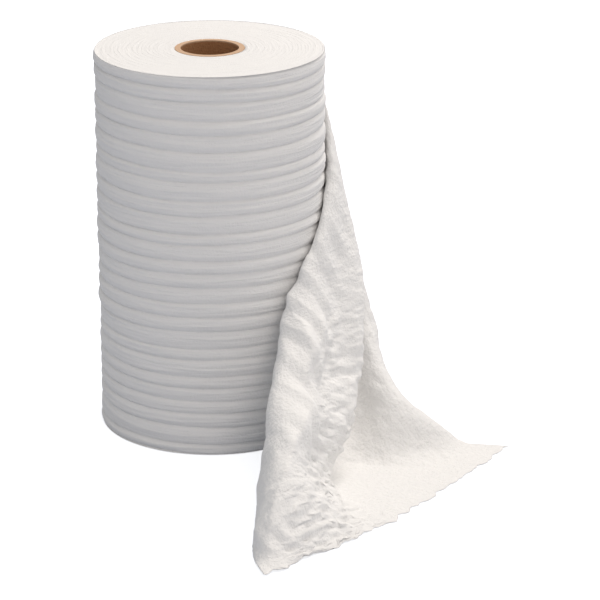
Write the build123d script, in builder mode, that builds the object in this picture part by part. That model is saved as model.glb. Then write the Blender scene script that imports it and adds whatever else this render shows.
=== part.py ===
"""A roll of creped paper wipers standing on its end, with its leading sheet pulled loose.

The axis of the core is the Z axis and the roll stands on Z = 0. The loose sheet leaves the roll at
its right-hand side, +X, and comes down to the surface in front of it, towards -Y.
"""
import math
import os

from build123d import *

# Driving dimensions, in millimetres
web_width = 254.0
roll_diameter = 151.4
core_bore = 38.0
core_wall = 3.7
core_gap = 0.3
groove_depth = 0.5
groove_width = 1.6
rim_chamfer = 0.8
sheet_thickness = 0.6
sheet_gap = 0.6
tail_reach = 260.5
tail_spread = 193.3

# How far behind the right-hand side the web leaves the roll, in degrees
leave_angle = 36.0

# Heights of the creped bands from the bottom of the roll to its top, as parts of the web's width
band_shares = (10, 17, 14, 26, 29, 28, 29, 43, 28, 18, 42, 19, 30, 31, 13)

# Heights, as shares of the web's width, of the points along the line where the sheet leaves the roll
root_shares = (0.00, 0.16, 0.32, 0.47, 0.61, 0.75, 0.88, 1.00)

# Flat facets between two neighbouring points of the tables
span_facets = 2

# Lines across the loose sheet, from the roll to its torn end. Each has points from its lower edge to its
# upper edge: how far out from the roll to the spread, how far forward from the line on the roll to the
# reach, and how high to the web's width. The lines stand up, turn over a crest and dip behind it.
# These shares were not chosen by hand: a fitting script took them from the scene's draped sheet.
tail_shares = (
    ((-0.033, 0.041, 0.000), (-0.033, 0.040, 0.159), (-0.034, 0.039, 0.317), (-0.035, 0.038, 0.465),
     (-0.036, 0.038, 0.602), (-0.032, 0.041, 0.739), (-0.034, 0.039, 0.858), (-0.047, 0.002, 0.898)),
    ((0.023, 0.132, 0.000), (0.023, 0.131, 0.157), (0.022, 0.127, 0.313), (0.022, 0.126, 0.457),
     (0.022, 0.125, 0.591), (0.022, 0.129, 0.722), (0.056, 0.080, 0.783), (0.037, 0.045, 0.797)),
    ((0.005, 0.228, 0.000), (-0.005, 0.224, 0.155), (0.000, 0.221, 0.306), (0.001, 0.219, 0.448),
     (-0.001, 0.221, 0.581), (0.089, 0.181, 0.652), (0.098, 0.117, 0.673), (0.087, 0.089, 0.693)),
    ((-0.051, 0.344, 0.000), (-0.102, 0.335, 0.150), (-0.115, 0.329, 0.300), (-0.138, 0.323, 0.440),
     (0.005, 0.295, 0.510), (0.168, 0.213, 0.513), (0.117, 0.170, 0.538), (0.117, 0.125, 0.567)),
    ((-0.150, 0.467, 0.000), (-0.195, 0.458, 0.149), (-0.287, 0.436, 0.293), (-0.130, 0.414, 0.376),
     (0.075, 0.339, 0.365), (0.174, 0.258, 0.359), (0.154, 0.208, 0.385), (0.204, 0.156, 0.417)),
    ((-0.257, 0.590, 0.000), (-0.319, 0.578, 0.150), (-0.289, 0.551, 0.275), (-0.058, 0.479, 0.257),
     (0.137, 0.398, 0.226), (0.092, 0.312, 0.218), (0.156, 0.252, 0.257), (0.274, 0.196, 0.267)),
    ((-0.346, 0.714, 0.000), (-0.360, 0.701, 0.156), (-0.148, 0.648, 0.214), (0.019, 0.556, 0.148),
     (0.113, 0.460, 0.093), (0.156, 0.367, 0.095), (0.335, 0.327, 0.164), (0.360, 0.249, 0.127)),
    ((-0.389, 0.852, 0.000), (-0.252, 0.826, 0.134), (-0.062, 0.730, 0.100), (0.062, 0.630, 0.025),
     (0.219, 0.532, 0.002), (0.394, 0.442, 0.016), (0.571, 0.370, 0.055), (0.613, 0.308, 0.026)),
    ((-0.333, 1.000, 0.000), (-0.077, 0.909, 0.029), (0.162, 0.811, 0.016), (0.368, 0.714, 0.000),
     (0.546, 0.618, 0.000), (0.716, 0.520, 0.000), (0.866, 0.428, 0.000), (1.000, 0.341, 0.000)),
)

core_radius = core_bore / 2 + core_wall
winding_radius = core_radius + core_gap
roll_radius = roll_diameter / 2
groove_radius = roll_radius - groove_depth
rim_radius = roll_radius - rim_chamfer
leave_depth = roll_radius * math.sin(math.radians(leave_angle))
clear_radius = roll_radius + sheet_thickness + sheet_gap

# The cardboard tube that the web is wound on
with BuildPart() as core_tube:
    with BuildSketch():
        Circle(core_radius)
        Circle(core_bore / 2, mode=Mode.SUBTRACT)
    extrude(amount=web_width)
core_tube.part.label = "core_tube"

# The wound turns: creped bands of uneven height, parted by shallow grooves that run round the roll
band_total = sum(band_shares)
with BuildPart() as paper_roll:
    with BuildSketch(Plane.XZ):
        with BuildLine():
            outline = [(winding_radius, 0), (rim_radius, 0), (roll_radius, rim_chamfer)]
            for count in range(1, len(band_shares)):
                level = web_width * sum(band_shares[:count]) / band_total
                outline.append((roll_radius, level - groove_width / 2))
                outline.append((groove_radius, level))
                outline.append((roll_radius, level + groove_width / 2))
            outline.append((roll_radius, web_width - rim_chamfer))
            outline.append((rim_radius, web_width))
            outline.append((winding_radius, web_width))
            Polyline(*outline, close=True)
        make_face()
    revolve(axis=Axis.Z)
paper_roll.part.label = "paper_roll"


def curve_points(points):
    """Points along a smooth curve through the given ones: one cubic over each span."""
    befores = points[:1] + points
    afters = points[1:] + points[-1:]
    ways = [(after - before) / 2 for before, after in zip(befores, afters)]
    curve = [points[0]]
    for place in range(len(points) - 1):
        start, end = points[place : place + 2]
        for facet in range(span_facets):
            gone = (facet + 1) / span_facets
            left = 1 - gone
            held = start * (1 + 2 * gone) + ways[place] * gone
            drawn = end * (1 + 2 * left) - ways[place + 1] * left
            curve.append(held * left**2 + drawn * gone**2)
    return curve


def on_surface(point):
    """The point, or the one above it on the surface where the curve would run below."""
    return Vector(point.X, point.Y, max(point.Z, 0))


def clear_of_roll(point):
    """The point, or the one straight out from the axis where the sheet would come too near the roll."""
    push = max(clear_radius / math.hypot(point.X, point.Y), 1)
    return Vector(point.X * push, point.Y * push, point.Z)


def corner_faces(corners):
    """Two flat triangles over four corners, parted between the first corner and the third."""
    halves = (corners[:3], corners[2:] + corners[:1])
    return [Face(Wire.make_polygon(half)) for half in halves]


# The leading sheet: it stands on its lower edge, turns over a slanting crest, dips and lies down
inward = Vector(-math.cos(math.radians(leave_angle)), -math.sin(math.radians(leave_angle)), 0)
root_foot = inward * -(roll_radius + sheet_thickness)
lines = [[root_foot + Vector(0, 0, share * web_width) for share in root_shares]]
for shares in tail_shares:
    line = []
    for out_share, forward_share, height_share in shares:
        out = roll_radius + out_share * (tail_spread - roll_radius)
        forward = forward_share * (leave_depth + tail_reach) - leave_depth
        line.append(Vector(out, -forward, height_share * web_width))
    lines.append(line)
edges = [curve_points(list(edge)) for edge in zip(*[curve_points(line) for line in lines])]
under = [[on_surface(point) for point in line] for line in zip(*edges)]
under[1:] = [[clear_of_roll(point) for point in line] for line in under[1:]]

# The upper face lies one thickness off the under face, square to it, and on the roll along the root
last_line = len(under) - 1
last_point = len(under[0]) - 1
upper = [[point + inward * sheet_thickness for point in under[0]]]
for row in range(1, last_line + 1):
    line = []
    for place, point in enumerate(under[row]):
        along = under[min(row + 1, last_line)][place] - under[row - 1][place]
        across = under[row][min(place + 1, last_point)] - under[row][max(place - 1, 0)]
        line.append(on_surface(point + along.cross(across).normalized() * sheet_thickness))
    upper.append(line)

# Stiff paper creases flat, so each four neighbouring points carry two triangles on both faces
facets = []
for row in range(last_line):
    for place in range(last_point):
        corners = [(row, place), (row, place + 1), (row + 1, place + 1), (row + 1, place)]
        facets += corner_faces([upper[at_row][at_place] for at_row, at_place in corners])
        facets += corner_faces([under[at_row][at_place] for at_row, at_place in corners])
border = [(0, place) for place in range(last_point)]
border += [(row, last_point) for row in range(last_line)]
border += [(last_line, place) for place in range(last_point, 0, -1)]
border += [(row, 0) for row in range(last_line, 0, -1)]
for near, far in zip(border, border[1:] + border[:1]):
    near_upper, near_under = upper[near[0]][near[1]], under[near[0]][near[1]]
    far_upper, far_under = upper[far[0]][far[1]], under[far[0]][far[1]]
    facets += corner_faces([near_upper, far_upper, far_under, near_under])
with BuildPart() as loose_wiper:
    add(Solid(Shell(facets)))
loose_wiper.part.label = "loose_wiper"

os.makedirs("parts", exist_ok=True)
for piece in (core_tube, paper_roll, loose_wiper):
    export_step(piece.part, f"parts/{piece.part.label}.step")
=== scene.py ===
# %% [markdown]
# # A roll of creped paper wipers
#
# The object is a roll of white workshop wipers that stands on its end, with the first sheet pulled
# loose. The solids come from the CAD model, and everything below gives them the look of soft creped
# paper. The frame has to be loaded first, because every piece takes its place from it.

# %% Load the frame
import math

import bpy
import numpy as np
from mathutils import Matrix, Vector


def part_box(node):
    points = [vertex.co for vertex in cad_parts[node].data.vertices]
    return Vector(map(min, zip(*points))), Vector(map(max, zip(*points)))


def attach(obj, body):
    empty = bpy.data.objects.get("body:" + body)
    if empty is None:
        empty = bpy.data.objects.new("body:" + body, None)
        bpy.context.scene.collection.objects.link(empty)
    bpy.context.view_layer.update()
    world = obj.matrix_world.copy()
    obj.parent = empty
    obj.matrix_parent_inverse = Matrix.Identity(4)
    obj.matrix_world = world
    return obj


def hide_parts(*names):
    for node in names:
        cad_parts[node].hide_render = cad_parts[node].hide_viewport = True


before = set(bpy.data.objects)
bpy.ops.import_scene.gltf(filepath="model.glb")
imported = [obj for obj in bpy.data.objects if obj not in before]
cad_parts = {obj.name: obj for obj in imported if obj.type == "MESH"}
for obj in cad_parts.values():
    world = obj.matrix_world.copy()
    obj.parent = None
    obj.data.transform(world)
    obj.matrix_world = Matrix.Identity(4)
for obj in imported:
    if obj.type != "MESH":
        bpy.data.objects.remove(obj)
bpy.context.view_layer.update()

# %% [markdown]
# ## Camera
#
# The picture was taken with a long lens from the front, looking about nineteen degrees down. A long lens
# keeps the sides of the roll nearly parallel, so the camera stands well back, with that lens and that tilt.

# %% Camera
camera_data = bpy.data.cameras.new("photo_camera")
camera_data.sensor_width = 36.0
camera_data.lens = 171.8
camera_data.clip_end = 100.0
camera_tilt = 19.39
camera = bpy.data.objects.new("photo_camera", camera_data)
camera.location = (0.0584, -1.802, 0.715)
camera.rotation_euler = (math.radians(90 - camera_tilt), 0.0, 0.0)
bpy.context.scene.collection.objects.link(camera)
bpy.context.scene.camera = camera
print("camera looks down by", camera_tilt, "degrees through a lens of", round(camera_data.lens, 1), "mm")

# %% [markdown]
# ## Colours and nodes
#
# Colours are written as sRGB hex, as they are read off a picture, but shaders want linear light, so one
# function converts them. A second function adds a shader node, fills in its sockets and links it, which
# keeps each material readable as a short list.

# %% Colours and nodes
def linear(hex_text):
    """Linear RGBA of an sRGB hex colour: small values over 12.92, others raised to 2.4 after the offset."""
    srgb = np.array([int(hex_text[place : place + 2], 16) for place in (1, 3, 5)]) / 255
    light = np.where(srgb <= 0.04045, srgb / 12.92, ((srgb + 0.055) / 1.055) ** 2.4)
    return (*light.tolist(), 1.0)


def add_node(tree, kind, settings=None, inputs=None):
    """Adds one node, sets its properties, then sets or links its input sockets, and returns the node."""
    made = tree.nodes.new(kind)
    for name, value in (settings or {}).items():
        setattr(made, name, value)
    for name, value in (inputs or {}).items():
        if isinstance(value, bpy.types.NodeSocket):
            tree.links.new(value, made.inputs[name])
        else:
            made.inputs[name].default_value = value
    return made


def new_material(name):
    """A new node material: returns it with its tree and its shader."""
    material = bpy.data.materials.new(name)
    material.use_nodes = True
    tree = material.node_tree
    return material, tree, tree.nodes["Principled BSDF"]


print("middle grey in linear light is", round(linear("#808080")[0], 3))

# %% [markdown]
# ## Meshes from grids
#
# The floor, the turns and the loose sheet are all grids of points, like a net that is laid over a form. One
# function makes a mesh of such a net, with whole arrays handed over at once, because that is far quicker
# than a loop over the points.

# %% Meshes from grids
def grid_object(name, points, closed_rows=False, closed_columns=False, uv=None):
    """A smooth mesh object from a grid of points: each cell of four neighbours is one quad.

    Closed rows or columns join the last line of points back to the first. uv is a grid of the same size, with
    one line more where the grid is closed, so that the pattern doesn't run backwards over the seam.
    """
    rows, columns = points.shape[:2]
    index = np.arange(rows * columns).reshape(rows, columns)
    if closed_rows:
        index = np.vstack([index, index[:1]])
    if closed_columns:
        index = np.hstack([index, index[:, :1]])
    quads = np.stack([index[:-1, :-1], index[:-1, 1:], index[1:, 1:], index[1:, :-1]], -1).reshape(-1, 4)
    mesh = bpy.data.meshes.new(name)
    mesh.vertices.add(rows * columns)
    mesh.vertices.foreach_set("co", points.astype(np.float32).ravel())
    mesh.loops.add(quads.size)
    mesh.loops.foreach_set("vertex_index", quads.astype(np.int32).ravel())
    mesh.polygons.add(len(quads))
    mesh.polygons.foreach_set("loop_start", np.arange(0, quads.size, 4, dtype=np.int32))
    mesh.polygons.foreach_set("use_smooth", np.ones(len(quads), dtype=bool))
    mesh.update(calc_edges=True)
    if uv is not None:
        layer = mesh.uv_layers.new(name="web")
        corner = np.stack([uv[:-1, :-1], uv[:-1, 1:], uv[1:, 1:], uv[1:, :-1]], 2)
        layer.data.foreach_set("uv", corner.astype(np.float32).ravel())
    mesh.validate()
    made = bpy.data.objects.new(name, mesh)
    bpy.context.scene.collection.objects.link(made)
    print(name, "has", len(mesh.polygons), "quads")
    return made


# %% [markdown]
# ## The white floor
#
# A product in a catalogue stands on white paper that shows no edge. A floor lit up to pure white would
# throw too much light back at the roll, so this one is a greyer matt paper that glows for the eye only:
# the Light Path node adds light on camera and mirror rays alone, and the shadow under the roll stays.

# %% Floor
floor_half = 12.0
corners = np.array([[[-floor_half, -floor_half, 0], [floor_half, -floor_half, 0]],
                    [[-floor_half, floor_half, 0], [floor_half, floor_half, 0]]])
floor = grid_object("floor", corners)
floor.location.z = -0.0004
paper_floor, tree, shader = new_material("white_studio_paper")
tree.nodes.remove(shader)
seen = add_node(tree, "ShaderNodeLightPath")
shown = add_node(tree, "ShaderNodeMath", {"operation": "MAXIMUM"},
                 {0: seen.outputs["Is Camera Ray"], 1: seen.outputs["Is Glossy Ray"]})
glow = add_node(tree, "ShaderNodeEmission", None, {"Color": linear("#ffffff"), "Strength": 0.75})
dark = add_node(tree, "ShaderNodeEmission", None, {"Color": linear("#000000")})
lift = add_node(tree, "ShaderNodeMixShader", None,
                {0: shown.outputs[0], 1: dark.outputs[0], 2: glow.outputs[0]})
matt = add_node(tree, "ShaderNodeBsdfDiffuse", None, {"Color": linear("#c4c9d3")})
both = add_node(tree, "ShaderNodeAddShader", None, {0: matt.outputs[0], 1: lift.outputs[0]})
tree.links.new(both.outputs[0], tree.nodes["Material Output"].inputs["Surface"])
floor.data.materials.append(paper_floor)

# %% [markdown]
# ## Room light and lamps
#
# Most of the light is soft and comes from all round, as in a white tent, so the world gives an even level.
# Large lamps behind, on the right and overhead make the top of the roll and the outer side of the sheet
# the brightest faces. A warm fill in front and a faint cool one low on the left lift the side of the roll.

# %% World and lamps
scene = bpy.context.scene
scene.view_settings.view_transform = "Standard"
world = bpy.data.worlds.new("white_room")
scene.world = world
world.use_nodes = True
tree = world.node_tree
seen = add_node(tree, "ShaderNodeLightPath")
shown = add_node(tree, "ShaderNodeMath", {"operation": "MAXIMUM"},
                 {0: seen.outputs["Is Camera Ray"], 1: seen.outputs["Is Glossy Ray"]})
shown = add_node(tree, "ShaderNodeMath", {"operation": "MAXIMUM"},
                 {0: shown.outputs[0], 1: seen.outputs["Is Transmission Ray"]})
strength = add_node(tree, "ShaderNodeMapRange", None,
                    {"Value": shown.outputs[0], "To Min": 0.46, "To Max": 1.0})
background = tree.nodes["Background"]
tint = add_node(tree, "ShaderNodeMix", {"data_type": "RGBA"},
                {"Factor": shown.outputs[0], "A": linear("#fffdfb"), "B": linear("#ffffff")})
tree.links.new(tint.outputs["Result"], background.inputs["Color"])
tree.links.new(strength.outputs[0], background.inputs["Strength"])


def soft_lamp(name, place, aim, size, watts, colour):
    """A square area lamp at a place, turned so that it shines at the aim."""
    data = bpy.data.lights.new(name, "AREA")
    data.shape = "SQUARE"
    data.size = size
    data.energy = watts
    data.color = linear(colour)[:3]
    lamp = bpy.data.objects.new(name, data)
    away = np.array(aim) - np.array(place)
    level = math.hypot(away[0], away[1])
    lamp.rotation_euler = (math.atan2(level, -away[2]), 0.0, math.atan2(away[1], away[0]) - math.pi / 2)
    lamp.location = place
    scene.collection.objects.link(lamp)
    print(name, "gives", watts, "W")


middle = (0.05, -0.05, 0.1)
soft_lamp("overhead_box", (0.10, -0.60, 2.6), middle, 1.0, 4.0, "#fff8f2")
soft_lamp("back_box", (0.7, 1.2, 2.2), middle, 0.8, 27.0, "#fff8f2")
soft_lamp("right_box", (1.6, 0.3, 2.0), middle, 0.8, 12.0, "#fff8f2")
soft_lamp("front_fill", (0.7, -2.4, 1.5), (0.0, 0.0, 0.12), 1.0, 11.5, "#fff4ee")
soft_lamp("left_fill", (-1.5, -1.8, 0.15), (0.0, 0.0, 0.05), 0.8, 3.0, "#dde9ff")

# %% [markdown]
# ## The wound roll
#
# The web is wound tight on its core, and its crepe shows on the side as level bands of uneven height. The
# roll's own sizes come from the frame, so that the dressed roll keeps the place of the solid one. Only the
# heights of the bands are set here, as parts of the web's width, finer than those of the solid.

# %% Sizes of the roll, from the frame
high_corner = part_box("paper_roll")[1]
roll_radius = float(high_corner[0])
web_width = float(high_corner[2])
core_radius = float(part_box("core_tube")[1][0])
leave_turn = math.radians(45.0)
web_thickness = 0.0003
core_gap = 0.0002
band_heights = (10, 17, 14, 13, 13, 12, 17, 11, 17, 14, 15, 16, 14,
                13, 17, 11, 18, 15, 18, 10, 19, 16, 14, 18, 13, 13)
band_edges = web_width * np.concatenate([[0], np.cumsum(band_heights)]) / sum(band_heights)
print("roll radius", roll_radius, "web width", web_width, "bands", len(band_heights))

# %% [markdown]
# ## Bands of crepe
#
# Each band is a soft cushion that faces up a little at its top and down at its bottom, so light from above
# draws a bright and a dark line at each join. A bump map would show this on the face but not on the
# outline, so the bands are real shape, worked out over the whole grid at once.

# %% Bands of crepe
def band_cushions(level, drift, seed):
    """Height of the crepe's cushions: one less a power of the distance from the band's middle, less a nick.

    level is the distance across the web and drift the shift of the joins there. Each band has its own
    fullness, and the nick is a narrow Gaussian in each join.
    """
    across = np.clip(level + drift, 0, web_width)
    place = np.clip(np.searchsorted(band_edges, across, side="right") - 1, 0, len(band_heights) - 1)
    part = (across - band_edges[place]) / (band_edges[place + 1] - band_edges[place])
    fullness = np.random.default_rng(seed).uniform(0.55, 1.0, len(band_heights))
    from_join = (1 - np.abs(2 * part - 1)) / 2 * (band_edges[place + 1] - band_edges[place])
    return fullness[place] * (1 - np.abs(2 * part - 1) ** 2.6) - 0.6 * np.exp(-((from_join / 0.0008) ** 2))


print("the lowest band is", round(float(band_edges[1]) * 1000, 1), "mm high")

# %% [markdown]
# ## Profile of the roll
#
# A roll like this could be turned from one outline, and so it is here: out along the foot, round the lower
# rim, up the side, round the upper rim and back over the top to the core. The rims are small quarter
# circles, because the edge of soft paper is never sharp.

# %% Profile of the roll
round_count = 208
turn = leave_turn + np.linspace(0, 2 * math.pi, round_count, endpoint=False)
rim_round = 0.0011
foot_count, top_count = 10, 30
rim_step = np.linspace(0, math.pi / 2, 6)
side_level = np.linspace(rim_round, web_width - rim_round, 400)
profile_radius = np.concatenate([
    np.linspace(core_radius + core_gap, roll_radius - rim_round, foot_count)[:-1],
    roll_radius - rim_round * (1 - np.sin(rim_step)),
    np.full(len(side_level) - 2, roll_radius),
    roll_radius - rim_round * (1 - np.cos(rim_step)),
    np.linspace(roll_radius - rim_round, core_radius + core_gap, top_count)[1:],
])
profile_level = np.concatenate([
    np.zeros(foot_count - 1),
    rim_round * (1 - np.cos(rim_step)),
    side_level[1:-1],
    web_width - rim_round * (1 - np.sin(rim_step)),
    np.full(top_count - 1, web_width),
])
on_side = np.clip((profile_radius - (roll_radius - rim_round)) / rim_round, 0, 1)[:, None]
on_top = (profile_level > web_width - 1e-6).astype(float)[:, None]
shape = (len(profile_radius), round_count)
print("the profile has", shape[0], "points and is carried round in", shape[1], "steps")

# %% [markdown]
# ## Soft noise
#
# Nothing about paper is quite even. Random numbers that are blurred give smooth bumps, wide or narrow as the
# blur, and a seed makes them the same each time. Blurring through the Fourier transform is quick, and the
# bumps meet again at the far end of the grid, so they run round the roll without a seam.

# %% Soft noise
def soft_noise(shape, widths, seed):
    """Smooth random bumps of unit height: white noise blurred by a Gaussian of so many cells each way."""
    white = np.random.default_rng(seed).standard_normal(shape)
    down = np.fft.fftfreq(shape[0])[:, None] * widths[0]
    along = np.fft.rfftfreq(shape[1])[None, :] * widths[1]
    blurred = np.fft.irfft2(np.fft.rfft2(white) * np.exp(-2 * (math.pi**2) * (down**2 + along**2)), shape)
    return (blurred - blurred.mean()) / blurred.std()


print("a soft noise of 4 by 4 cells spans", np.round(np.ptp(soft_noise((4, 4), (1, 1), 1)), 2))

# %% [markdown]
# ## Turns of the roll
#
# The profile is carried round the axis. The bands wander a little, because no web winds dead straight, and
# the paper swells where it was wound slack. The radius also shrinks by one thickness of the web on its
# way round, which leaves the small step where the loose sheet parts from the roll.

# %% Turns of the roll
band_depth, crepe_depth, swell_depth, side_inset = 0.0016, 0.00017, 0.00012, 0.0001
ripple_depth, top_inset = 0.00002, 0.0002
drift = 0.0006 * soft_noise(shape, (40, 20), 3) + 0.00025 * soft_noise(shape, (12, 9), 4)
cushion = band_cushions(np.repeat(profile_level[:, None], round_count, 1), drift, 5)
crepe = soft_noise(shape, (1.3, 7), 6)
swell = soft_noise(shape, (44, 18), 7)
spiral = (turn - leave_turn) / (2 * math.pi)
radius = profile_radius[:, None] + on_side * (
    band_depth * (cushion - 1) + crepe_depth * crepe + swell_depth * swell
    - web_thickness * spiral[None, :] - side_inset
)
turns_ripple = soft_noise(shape, (1.0, 30), 8)
level = profile_level[:, None] + on_top * (ripple_depth * turns_ripple - top_inset)
roll_points = np.stack([radius * np.cos(turn), radius * np.sin(turn), level * np.ones_like(radius)], -1)
roll_points[..., 2] = np.maximum(roll_points[..., 2], 0.0)
round_uv = np.append(turn, leave_turn + 2 * math.pi) * roll_radius
gone = np.concatenate([[0], np.cumsum(np.hypot(np.diff(profile_radius), np.diff(profile_level)))])
gone = np.append(gone, gone[-1] + web_width) - gone[np.argmax(profile_level > rim_round)]
flat_uv = np.stack(np.meshgrid(round_uv, gone), -1)
roll = grid_object("wound_turns", roll_points, closed_rows=True, closed_columns=True, uv=flat_uv)
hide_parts("paper_roll")
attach(roll, "root")

# %% [markdown]
# ## Creped tissue for the roll
#
# Wiper paper is bonded fibre, creped off a drying drum. It is matt and white with a trace of warmth. Close
# up it has fine level lines, because the crepe is pulled flat as it is wound, and a fine pebble. Both are
# noises stretched to set sizes in metres and used as bump. The loose sheet uses the same paper with wider
# creases on top, where the mesh says that it is crumpled.

# %% Wound crepe material
def crepe_material(name, colour, shade, lines_scale, pebble_scale, lines_depth, pebble_depth,
                   crumple_depth=0.0):
    """Matt fibre paper: two noises, one drawn out along the web and one even, as bump and faint shade.

    Scales are one over the size of the pattern in metres. The finest crepe would be lost at this distance,
    so its lines and its pebble are drawn somewhat coarser than they are.
    """
    material, tree, shader = new_material(name)
    place = add_node(tree, "ShaderNodeTexCoord").outputs["UV"]
    drawn = add_node(tree, "ShaderNodeMapping", None, {"Vector": place, "Scale": lines_scale})
    lines = add_node(tree, "ShaderNodeTexNoise", None,
                     {"Vector": drawn.outputs[0], "Scale": 1.0, "Detail": 3.0, "Roughness": 0.55})
    even = add_node(tree, "ShaderNodeMapping", None, {"Vector": place, "Scale": pebble_scale})
    pebble = add_node(tree, "ShaderNodeTexNoise", None,
                      {"Vector": even.outputs[0], "Scale": 1.0, "Detail": 2.0, "Roughness": 0.6})
    tint = add_node(tree, "ShaderNodeMix", {"data_type": "RGBA"},
                    {"Factor": lines.outputs[0], "A": linear(shade), "B": linear(colour)})
    tree.links.new(tint.outputs["Result"], shader.inputs["Base Color"])
    ridge = add_node(tree, "ShaderNodeBump", None,
                     {"Strength": 1.0, "Distance": lines_depth, "Height": lines.outputs[0]})
    grain = add_node(tree, "ShaderNodeBump", None,
                     {"Strength": 1.0, "Distance": pebble_depth, "Height": pebble.outputs[0],
                      "Normal": ridge.outputs[0]})
    if crumple_depth:
        share = add_node(tree, "ShaderNodeAttribute", {"attribute_name": "crumpled"}).outputs["Fac"]
        slanting = add_node(tree, "ShaderNodeMapping", None,
                            {"Vector": place, "Scale": (1 / 0.0052, 1 / 0.0125, 1.0),
                             "Rotation": (0.0, 0.0, 0.25)})
        folded = add_node(tree, "ShaderNodeTexNoise", {"noise_type": "RIDGED_MULTIFRACTAL"},
                          {"Vector": slanting.outputs[0], "Scale": 1.0, "Detail": 3.0, "Roughness": 0.5,
                           "Distortion": 0.6})
        grain = add_node(tree, "ShaderNodeBump", None,
                         {"Strength": share, "Distance": crumple_depth, "Height": folded.outputs[0],
                          "Normal": grain.outputs[0]})
    tree.links.new(grain.outputs[0], shader.inputs["Normal"])
    shader.inputs["Roughness"].default_value = 0.92
    shader.inputs["IOR"].default_value = 1.46
    shader.inputs["Specular IOR Level"].default_value = 0.2
    return material


# White with a grey trace, and level streaks: the eye reads tight winding
wound_crepe = crepe_material("creped_tissue_wound", "#f1f0ee", "#e6e6e6",
                             (1 / 0.030, 1 / 0.0018, 1.0), (1 / 0.0016, 1 / 0.0014, 1.0), 0.0009, 0.0003)
roll.data.materials.append(wound_crepe)
print("the turns wear", wound_crepe.name)

# %% [markdown]
# ## The cardboard core
#
# The core is kraft board wound in a spiral. Its cut end is paler and a little furry, and the inside is
# brown and in shade. The solid core is the right shape already, so it only gets this material.

# %% Kraft board
# Brown with darker fibres, paler where it was cut: the eye reads bare board
kraft, tree, shader = new_material("spiral_kraft_board")
place = add_node(tree, "ShaderNodeTexCoord").outputs["Object"]
fibres = add_node(tree, "ShaderNodeTexNoise", None, {"Vector": place, "Scale": 1 / 0.0011, "Detail": 4.0})
brown = add_node(tree, "ShaderNodeMix", {"data_type": "RGBA"},
                 {"Factor": fibres.outputs[0], "A": linear("#7a5232"), "B": linear("#b4845a")})
height = add_node(tree, "ShaderNodeSeparateXYZ", None, {"Vector": place}).outputs["Z"]
cut_end = add_node(tree, "ShaderNodeMapRange", None,
                   {"Value": height, "From Min": web_width - 0.0012, "From Max": web_width - 0.0003})
tint = add_node(tree, "ShaderNodeMix", {"data_type": "RGBA"},
                {"Factor": cut_end.outputs[0], "A": brown.outputs["Result"], "B": linear("#c8a789")})
tree.links.new(tint.outputs["Result"], shader.inputs["Base Color"])
rough = add_node(tree, "ShaderNodeBump", None,
                 {"Strength": 1.0, "Distance": 0.0004, "Height": fibres.outputs[0]})
tree.links.new(rough.outputs[0], shader.inputs["Normal"])
shader.inputs["Roughness"].default_value = 0.9
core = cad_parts["core_tube"]
core.data.materials.clear()
core.data.materials.append(kraft)
print("the core wears", kraft.name)

# %% [markdown]
# ## The loose sheet
#
# The first wiper is still joined to the roll by an upright line. It stands on its lower edge, folds over
# a slanting crest and comes down to the surface, where its torn end lies flat. Paper hardly stretches, so
# the shape is found by relaxing a grid of points that keep their distances, held by the roll and the surface.

# %% Edges that hold the sheet, in millimetres
wide = web_width * 1000
sheet_gap = 0.6
lift_off = roll_radius * 1000 + sheet_gap
front_corner = np.array([36.5, -260.5])
far_corner = np.array([193.3, -59.5])
end_middle = np.array([108.4, -191.4])


def on_roll(turn, away):
    """The point in plan at a turn round the roll, so far away from where the sheet touches it."""
    return (lift_off + away) * np.stack([np.cos(turn), np.sin(turn)], -1)


def bezier(corners, count=400):
    """Points on a cubic Bezier curve: the four corners weighted by the Bernstein polynomials."""
    t = np.linspace(0, 1, count)[:, None]
    near = (1 - t) ** 3 * corners[0] + 3 * t * (1 - t) ** 2 * corners[1]
    return near + 3 * t**2 * (1 - t) * corners[2] + t**3 * corners[3]


def evenly(path, count):
    """The path sampled again at equal steps of its own length."""
    gone = np.concatenate([[0], np.cumsum(np.linalg.norm(np.diff(path, axis=0), axis=1))])
    step = np.linspace(0, gone[-1], count)
    return np.stack([np.interp(step, gone, path[:, axis]) for axis in range(path.shape[1])], -1)


part_turn = math.radians(12.0)
against = on_roll(np.linspace(leave_turn, part_turn, 60), 0)
heading = np.array([math.sin(part_turn), -math.cos(part_turn)])
swing = bezier([against[-1], against[-1] + 90 * heading, np.array([5.0, -165.0]), front_corner])
lower_path = np.vstack([against[:-1], swing])
end_path = bezier([front_corner, front_corner + 0.62 * (end_middle - front_corner) + (4, 0),
                   end_middle + 0.15 * (far_corner - end_middle) + (3, -6), far_corner])
hanging = np.hstack([on_roll(np.radians([45, 34, 22, 10]), np.array([0, 1, 3, 6])[:, None]),
                     np.array([[wide], [226], [194], [166]])])
falling = np.array([[89, 7, 150], [95, 4, 130], [99, -1, 114], [103, -6, 94], [107, -13, 74], [110, -20, 56],
                    [114, -27, 40], [121, -35, 26], [134, -43, 14], [150, -51, 5], [167, -55, 1.5],
                    [*far_corner, 0]])
upper_keys = np.vstack([hanging, falling])
sheet_length = float(np.linalg.norm(np.diff(lower_path, axis=0), axis=1).sum())
print("the loose sheet is", round(sheet_length), "mm long and", round(wide), "mm wide")

# %% [markdown]
# ## A first fold
#
# The grid needs a start that is near the shape it will settle in. The sheet stands up from its lower edge
# as far as a diagonal, and from there it runs straight to its upper edge, as a page does with one corner
# folded down. Finer grids later start from the coarse result, which is much quicker than starting fine.

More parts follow.
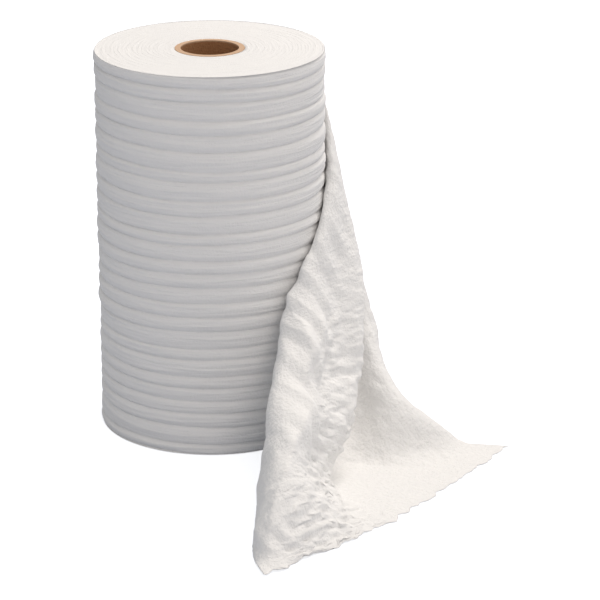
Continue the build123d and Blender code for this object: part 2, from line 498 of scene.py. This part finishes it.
# %% Holding the edges
def resampled(points, rows, columns):
    """The grid with more points, by a Catmull-Rom cubic through the old ones, first down, then along."""
    for axis, count in ((0, rows), (1, columns)):
        old = np.moveaxis(points, axis, 0)
        place = np.linspace(0, len(old) - 1, count)
        cell = np.minimum(place.astype(int), len(old) - 2)
        t = (place - cell)[:, None, None]
        ends = np.concatenate([2 * old[:1] - old[1:2], old, 2 * old[-1:] - old[-2:-1]])
        a, b, c, d = (ends[cell + shift] for shift in range(4))
        square, cube = 2 * a - 5 * b + 4 * c - d, 3 * b - a - 3 * c + d
        new = 0.5 * (2 * b + (c - a) * t + square * t**2 + cube * t**3)
        points = np.moveaxis(new, 0, axis)
    return points


upper_path = resampled(np.repeat(upper_keys[None], 2, 0), 2, 400)[0]


def edge_lines(rows, columns):
    """Where the lower, upper, root and end edges of the grid lie."""
    lower = np.hstack([evenly(lower_path, columns), np.zeros((columns, 1))])
    root = np.hstack([np.repeat(against[:1], rows, 0), np.linspace(0, wide, rows)[:, None]])
    end = np.hstack([evenly(end_path, rows), np.zeros((rows, 1))])
    return lower, evenly(upper_path, columns), root, end


def first_fold(rows, columns):
    """A start for the sheet: upright from the lower edge to a diagonal, then straight to the upper edge."""
    lower, upper, root, end = edge_lines(rows, columns)
    across = np.linspace(0, wide, rows)[:, None, None]
    rise = (1 - np.linspace(0, 1, columns))[None, :, None] * wide
    standing = lower + np.array([0, 0, 1.0]) * np.minimum(across, rise)
    crest = lower + np.array([0, 0, 1.0]) * rise
    over = np.clip((across - rise) / np.maximum(wide - rise, 1e-6), 0, 1)
    points = np.where(across <= rise, standing, crest + (upper - crest) * over)
    points[0], points[-1], points[:, 0], points[:, -1] = lower, upper, root, end
    return points


print("the first fold starts from", len(upper_keys), "points along the upper edge")

# %% [markdown]
# ## Keeping lengths
#
# Paper bends but hardly stretches. So each pair of neighbouring points is pulled back to the distance that
# it has in the flat sheet, and pairs further apart are held more weakly, which makes the paper stiff.

# %% Keeping lengths
def keep_length(points, free, down, along, rest, pull):
    """Moves each pair of points, so many rows and columns apart, towards its rest length.

    The pairs are taken in two groups that share no point, so that each group is one sum over whole arrays.
    """
    rows, columns = points.shape[:2]
    stride = max(abs(down), abs(along))
    for group in range(2):
        if down:
            first_row = np.arange(rows - down)
            first_row = first_row[first_row // stride % 2 == group][:, None]
            first_column = np.arange(max(-along, 0), columns - max(along, 0))[None, :]
        else:
            first_row = np.arange(rows)[:, None]
            first_column = np.arange(columns - along)
            first_column = first_column[first_column // stride % 2 == group][None, :]
        here = (first_row, first_column)
        there = (first_row + down, first_column + along)
        apart = points[there] - points[here]
        length = np.sqrt((apart**2).sum(-1)) + 1e-9
        share = free[here] + free[there]
        move = (pull * (length - rest) / length / np.maximum(share, 1))[..., None] * apart
        points[here] += free[here][..., None] * move
        points[there] -= free[there][..., None] * move


pair = np.array([[[0.0, 0.0, 0.0], [2.0, 0.0, 0.0]]])
keep_length(pair, np.ones((1, 2)), 0, 1, 1.0, 1.0)
pair_length = round(float(np.ptp(pair[..., 0])), 3)
print("two points 2 mm apart with a rest length of 1 mm end", pair_length, "mm apart")

# %% [markdown]
# ## Smooth steps
#
# What happens on one part of the sheet and not on the next should fade in and out without an edge. A cubic
# that starts and ends level does that, and two of them make a window.

# %% Smooth steps
def smooth_step(value, low, high):
    """Rises from 0 at low to 1 at high: three t squared less two t cubed."""
    t = np.clip((value - low) / (high - low), 0, 1)
    return t * t * (3 - 2 * t)


def between(value, low, full, fading, gone):
    """Rises from 0 at low to 1 at full and falls from 1 at fading to 0 at gone, by two smooth steps."""
    return smooth_step(value, low, full) * (1 - smooth_step(value, fading, gone))


print("halfway up, the smooth step is at", float(smooth_step(0.5, 0, 1)))

# %% [markdown]
# ## Settling
#
# The sheet falls under its weight in small steps. After each step the lengths are put right, the floor and
# the roll push back, and the upper and torn edges are led to where they lie. A pull in the hollow and a
# lift near the front corner stand for the hand that laid the sheet down.

# %% Settling the sheet
def relax(points, steps, passes, stiff):
    """Lets the sheet settle: gravity, then pairs pulled to length, then the floor and the roll push back."""
    rows, columns = points.shape[:2]
    across, along = wide / (rows - 1), sheet_length / (columns - 1)
    slant = math.hypot(across, along)
    lower, upper, root, end = edge_lines(rows, columns)
    points[0], points[:, 0] = lower, root
    free = np.ones((rows, columns))
    free[0] = free[:, 0] = free[-1, -1] = 0
    pairs = [(1, 0, across, 1.0), (0, 1, along, 1.0), (1, 1, slant, 0.5), (1, -1, slant, 0.5)]
    pairs += [(2, 0, 2 * across, stiff), (0, 2, 2 * along, stiff)]
    pairs += [(2, 2, 2 * slant, stiff), (2, -2, 2 * slant, stiff)]
    pairs += [(4, 0, 4 * across, stiff), (0, 4, 4 * along, stiff)]
    web, length = np.linspace(0, 1, rows)[:, None], np.linspace(0, 1, columns)[None, :]
    hollow = np.exp(-(((web - 0.46 - 0.52 * (1 - length)) / 0.15) ** 2))
    dip = hollow * between(length, 0.2, 0.45, 0.86, 0.98)
    flat = smooth_step(length, 0.90, 0.96) * smooth_step(web, 0.35, 0.6)
    lift = np.exp(-(((web - 0.22) / 0.15) ** 2)) * smooth_step(length, 0.62, 0.85)
    speed = np.zeros_like(points)
    for _ in range(steps):
        before = points.copy()
        speed[..., 2] -= 0.02 + 0.3 * dip - 0.4 * lift
        points += speed * free[..., None]
        for _ in range(passes):
            for down, over, rest, pull in pairs:
                keep_length(points, free, down, over, rest, pull)
            points[-1, 1:-1] += 0.5 * (upper - points[-1])[1:-1]
            points[1:-1, -1, :2] += 0.5 * (end - points[:, -1])[1:-1, :2]
            points[..., 2] = np.maximum(points[..., 2] * (1 - 0.25 * flat), 0)
            out = np.hypot(points[..., 0], points[..., 1])
            inside = (out < lift_off) & (free > 0)
            points[..., :2] *= np.where(inside, lift_off / np.maximum(out, 1e-6), 1)[..., None]
        speed = 0.9 * (points - before)
    return points


sheet = relax(first_fold(17, 21), 70, 16, 0.2)
print("on the coarsest grid the sheet's crest is", round(float(sheet[1:-1, 1:-1, 2].max())), "mm high")

# %% [markdown]
# ## From coarse to fine
#
# Then the fold is drawn in to the roll at its top, and a Gaussian blur takes out the small buckles that
# the grid leaves, because the creases that the eye should see are drawn later, about where the real
# sheet has them.

# %% Finished drape
def softened(points, width):
    """The grid blurred by a Gaussian of so many cells each way, which takes out the small buckles."""
    reach = math.ceil(3 * width)
    weights = np.exp(-0.5 * (np.arange(-reach, reach + 1) / width) ** 2)
    for axis in (0, 1):
        lines = np.moveaxis(points, axis, 0)
        near = np.pad(lines, ((reach, reach), (0, 0), (0, 0)), mode="reflect", reflect_type="odd")
        blurred = sum(weight * near[shift : shift + len(lines)] for shift, weight in enumerate(weights))
        points = np.moveaxis(blurred / weights.sum(), 0, axis)
    return points


def press_flat(points):
    """Draws the top of the fold in towards the roll, the higher the closer, as a crease pulled tight."""
    out = np.hypot(points[..., 0], points[..., 1])
    turn = np.degrees(np.arctan2(points[..., 1], points[..., 0]))
    kept = 1 - 0.8 * smooth_step(points[..., 2], 75, 225) * smooth_step(turn, -55, -20)
    points[..., :2] *= ((lift_off + kept * (out - lift_off)) / out)[..., None]
    return points


sheet = relax(resampled(sheet, 33, 41), 70, 16, 0.1)
sheet = relax(resampled(sheet, 65, 81), 60, 14, 0.06)
sheet = press_flat(sheet)
sheet = softened(sheet, (len(sheet) - 1) / 32)
lying = smooth_step(np.linspace(0, 1, sheet.shape[1]), 0.88, 1.0)
sheet[..., 2] = np.maximum(sheet[..., 2], 0) * (1 - 0.8 * lying)
print("the sheet's crest is", round(float(sheet[1:-1, 1:-1, 2].max())), "mm high")

# %% [markdown]
# ## Places on the sheet
#
# To draw creases, each point has to know where it is: how far across the web, how far along it, how far
# past the crest where the sheet turns over, and how far past the ridge beyond which it sinks into a hollow.
# Both lines are short tables of shares of the web, and a little noise keeps them from looking ruled.

# %% Places on the sheet
sheet_rows, sheet_columns = 205, 235
sheet = resampled(sheet, sheet_rows, sheet_columns)
shape = (sheet_rows, sheet_columns)
web = np.repeat(np.linspace(0, 1, sheet_rows)[:, None], sheet_columns, 1)
length = np.repeat(np.linspace(0, 1, sheet_columns)[None, :], sheet_rows, 0)
across_web, along_web = web * web_width, length * sheet_length / 1000
down = np.gradient(sheet, axis=0)
along = np.gradient(sheet, axis=1)
facing = np.cross(along, down)
facing /= np.linalg.norm(facing, axis=-1, keepdims=True)
along /= np.linalg.norm(along, axis=-1, keepdims=True)
crest_lengths = [0.0, 0.25, 0.42, 0.56, 0.70, 0.82, 0.92, 1.0]
crest_shares = [1.0, 0.72, 0.47, 0.42, 0.33, 0.22, 0.08, 0.0]
ridge_lengths = [0.3, 0.4, 0.5, 0.6, 0.7, 0.8, 0.9, 1.0]
ridge_shares = [0.80, 0.75, 0.71, 0.68, 0.62, 0.53, 0.47, 0.43]
crest_line = np.interp(length, crest_lengths, crest_shares)
ridge_line = np.interp(length, ridge_lengths, ridge_shares)
past_crest = (web - crest_line) * wide + 1.5 * soft_noise(shape, (5, 5), 12)
past_ridge = (web - ridge_line) * wide + 2.0 * soft_noise(shape, (2.5, 2.5), 13)
print("the sheet has", sheet_rows, "by", sheet_columns, "points")

# %% [markdown]
# ## Creases
#
# Stiff paper folds in sharp lines with flat facets between. The slanting pleats near the crest are a saw
# of one steep and one gentle side, the level creases are the folds of a soft noise, and a few long folds
# cross the rest. All of them are heights along the sheet's own normal, in millimetres.

# %% Creases
def creases(seed, count, shortest, longest, slope, ways):
    """Sharp folds with flat facets between: triangle waves in random ways, bent and faded by soft noise."""
    random = np.random.default_rng(seed)
    total = np.zeros(shape)
    for number in range(count):
        way, pitch, shift = random.uniform(*ways), random.uniform(shortest, longest), random.uniform(0, 1)
        bend = 0.5 * soft_noise(shape, (14, 14), seed + 100 + number)
        place = (math.cos(way) * along_web + math.sin(way) * across_web) * 1000 / pitch + shift + bend
        strength = smooth_step(soft_noise(shape, (12, 12), seed + 200 + number), -0.6, 1.0)
        total += strength * slope * pitch / 2 * np.abs(2 * (place % 1) - 1)
    return total


pleat_pitch, steep, gentle = 21.0, 0.42, 0.58
drift = 0.8 * soft_noise(shape, (9, 18), 11)
fall = 1 - ((across_web - 0.4 * along_web) * 1000 + drift) / pleat_pitch % 1
pleat = -np.minimum(fall / steep, (1 - fall) / gentle)
pleated = between(past_crest, -30, 4, 26, 52) * between(length, 0.25, 0.4, 0.74, 0.86)
bright = 1 - smooth_step(past_ridge, -8, 8)
crumpled = (0.35 + 0.65 * smooth_step(length, 0.45, 0.6)) * smooth_step(past_crest, 0, 40)
crumpled = crumpled + 0.5 * smooth_step(length, 0.75, 0.85)
wide_creases = -0.8 * np.abs(soft_noise(shape, (5, 1.2), 31))
level_creases = wide_creases - 0.5 * np.abs(soft_noise(shape, (3.5, 0.9), 32))
folds = creases(57, 4, 12, 28, 0.10, (0, math.pi))
pebble = soft_noise(shape, (1.1, 1.1), 16)
held = smooth_step(length, 0.0, 0.06)
edge_fold = 3.5 * np.exp(-np.abs(past_crest) / 12) * smooth_step(length, 0.25, 0.45)
ridge_fold = 3.0 * np.exp(-np.abs(past_ridge) / 10) * between(length, 0.30, 0.45, 0.68, 0.80)
trough = 9.0 * np.exp(-(((past_ridge - 18) / 38) ** 2)) * smooth_step(past_ridge, -6, 4)
trough = trough * between(length, 0.40, 0.60, 0.84, 0.98)
height = 2.5 * pleated * pleat + bright * (crumpled * level_creases + folds) + edge_fold + ridge_fold - trough
height = held * np.clip(0.4 + sheet[..., 2] / 10, 0, 1) * height + (0.15 - 0.07 * bright) * pebble
print("the creases stand", round(float(np.ptp(height)), 1), "mm from the deepest to the highest")

# %% [markdown]
# ## Torn end, wavy edges and thickness
#
# The end was torn along a perforation, so it is ragged, and the upper edge waves a little. The sheet is
# moved by its heights and gets a thickness of 0.3 mm.

# %% Torn end, wavy edges and thickness
drawn_in = (1 - smooth_step(past_crest, -10, 45)) * between(length, 0.40, 0.55, 0.72, 0.86)
sheet[..., 0] += 6.0 * drawn_in * smooth_step(sheet[..., 2], 5, 50)
torn = 1.6 * np.abs(soft_noise((sheet_rows, 1), (4.5, 1), 14))
torn = torn + 0.5 * soft_noise((sheet_rows, 1), (1.0, 1), 19)
sheet = sheet + along * (torn * smooth_step(length, 0.955, 1.0))[..., None]
wave = 0.9 * soft_noise((1, sheet_columns), (1, 4), 17) * smooth_step(web, 0.96, 1.0)
sheet = sheet + facing * (height + held * wave)[..., None]
sheet[..., 2] = np.maximum(sheet[..., 2], 0.2)
web_uv = np.stack([along_web, across_web], -1)
wiper = grid_object("loose_wiper_sheet", sheet / 1000, uv=web_uv)
share = wiper.data.attributes.new("crumpled", "FLOAT", "POINT")
share.data.foreach_set("value", (bright * crumpled * held).astype(np.float32).ravel())
solid = wiper.modifiers.new("thickness", "SOLIDIFY")
solid.thickness = web_thickness
solid.offset = 0.0
# The same white, with open crepe and sharp wrinkles: the eye reads paper that was handled
loose_crepe = crepe_material("creped_tissue_loose", "#f4f3f1", "#e9e9e8",
                             (1 / 0.0018, 1 / 0.0080, 1.0), (1 / 0.0024, 1 / 0.0024, 1.0),
                             0.0005, 0.0008, crumple_depth=0.0018)
wiper.data.materials.append(loose_crepe)
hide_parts("loose_wiper")
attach(wiper, "root")
